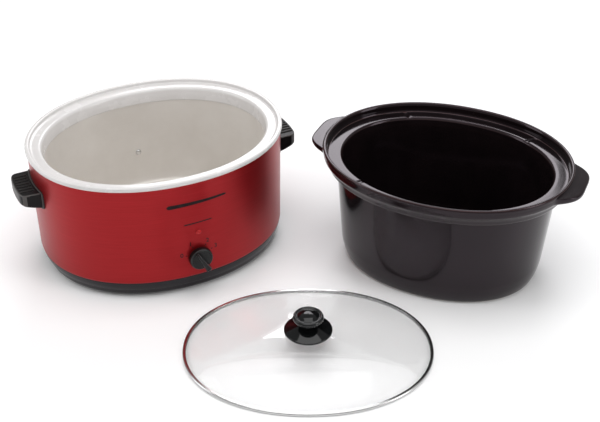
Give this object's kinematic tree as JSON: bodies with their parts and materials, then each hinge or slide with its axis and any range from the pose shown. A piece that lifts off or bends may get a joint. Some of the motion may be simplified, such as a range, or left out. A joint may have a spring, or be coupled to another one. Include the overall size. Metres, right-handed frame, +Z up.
{
  "type": "oval slow cooker",
  "caption": "Oval slow cooker with a red heating base, a rotary control knob, a removable black stoneware crock and a glass lid with a black knob, laid out side by side.",
  "frame": {"origin": "centre of the laid-out set's footprint, on the table plane that the base, the crock and the lid all stand on", "axes": "+X along the heating base's long axis, from its left handle to its right handle seen from the control knob; +Y from the control knob towards the back of the base; +Z up"},
  "size_m": [0.7625, 0.6566, 0.1971],
  "materials": {
    "red_shell": "brushed metallic red lacquer over steel, satin gloss",
    "white_collar": "off-white moulded, gloss",
    "liner_metal": "satin pressed liner, warm grey",
    "black_plinth": "black moulded, soft gloss",
    "black_handle": "black phenolic, matte",
    "black_knob": "black moulded, high gloss",
    "stoneware": "black glaze with a brown tint on the edges, gloss",
    "clear_glass": "clear tempered glass",
    "stainless": "bright rolled band",
    "zinc_steel": "zinc plated",
    "brass_parts": "plain",
    "red_lens": "translucent red, gloss",
    "lamp_glass": "clear glow lamp",
    "grey_rubber": "matte",
    "heater_sleeve": "woven glass-fibre sleeve",
    "cream_moulding": "heat-proof moulding",
    "silicone": "translucent grey silicone",
    "lead_sleeve": "high-temperature insulation"
  },
  "bodies": {
    "base": {"outer_shell_front": "red_shell", "outer_shell_right": "red_shell", "outer_shell_back": "red_shell", "outer_shell_left": "red_shell", "rim_collar": "white_collar", "collar_screws": "zinc_steel", "heating_well": "liner_metal", "well_rivet": "stainless", "heater_band": "heater_sleeve", "heater_strap": "zinc_steel", "strap_bolt": "zinc_steel", "thermal_fuse": "brass_parts", "thermal_fuse_clip": "zinc_steel", "plinth": "black_plinth", "bottom_plate": "zinc_steel", "rubber_feet": "grey_rubber", "tie_stud": "zinc_steel", "tie_washer": "zinc_steel", "tie_nut": "zinc_steel", "handle_left": "black_handle", "handle_right": "black_handle", "handle_plates": "zinc_steel", "handle_screws": "zinc_steel", "switch_body": "cream_moulding", "switch_nut": "brass_parts", "pilot_lens": "red_lens", "pilot_lamp": "lamp_glass", "pilot_retainer": "zinc_steel", "cord_inlet_bush": "black_handle", "terminal_block": "cream_moulding", "internal_leads": "lead_sleeve"},
    "knob": {"control_knob": "black_knob", "switch_shaft": "zinc_steel"},
    "crock": {"crock": "stoneware"},
    "lid": {"lid_glass": "clear_glass", "lid_rim_band": "stainless", "lid_knob_skirt": "black_knob", "lid_knob": "black_knob", "lid_gasket": "silicone", "lid_washer": "zinc_steel", "lid_screw": "stainless"}
  },
  "joints": [
    {"name": "knob_turn", "type": "hinge", "parent": "base", "child": "knob", "pos_m": [-0.15518, 0.00968, 0.0615], "axis": [0, -1, 0], "range_deg": [-94, 45]},
    {"name": "crock_lift", "type": "slide", "parent": "base", "child": "crock", "axis": [0, 0, 1], "range_m": [0, 0.25]},
    {"name": "lid_lift", "type": "slide", "parent": "base", "child": "lid", "axis": [0, 0, 1], "range_m": [0, 0.25]}
  ]
}
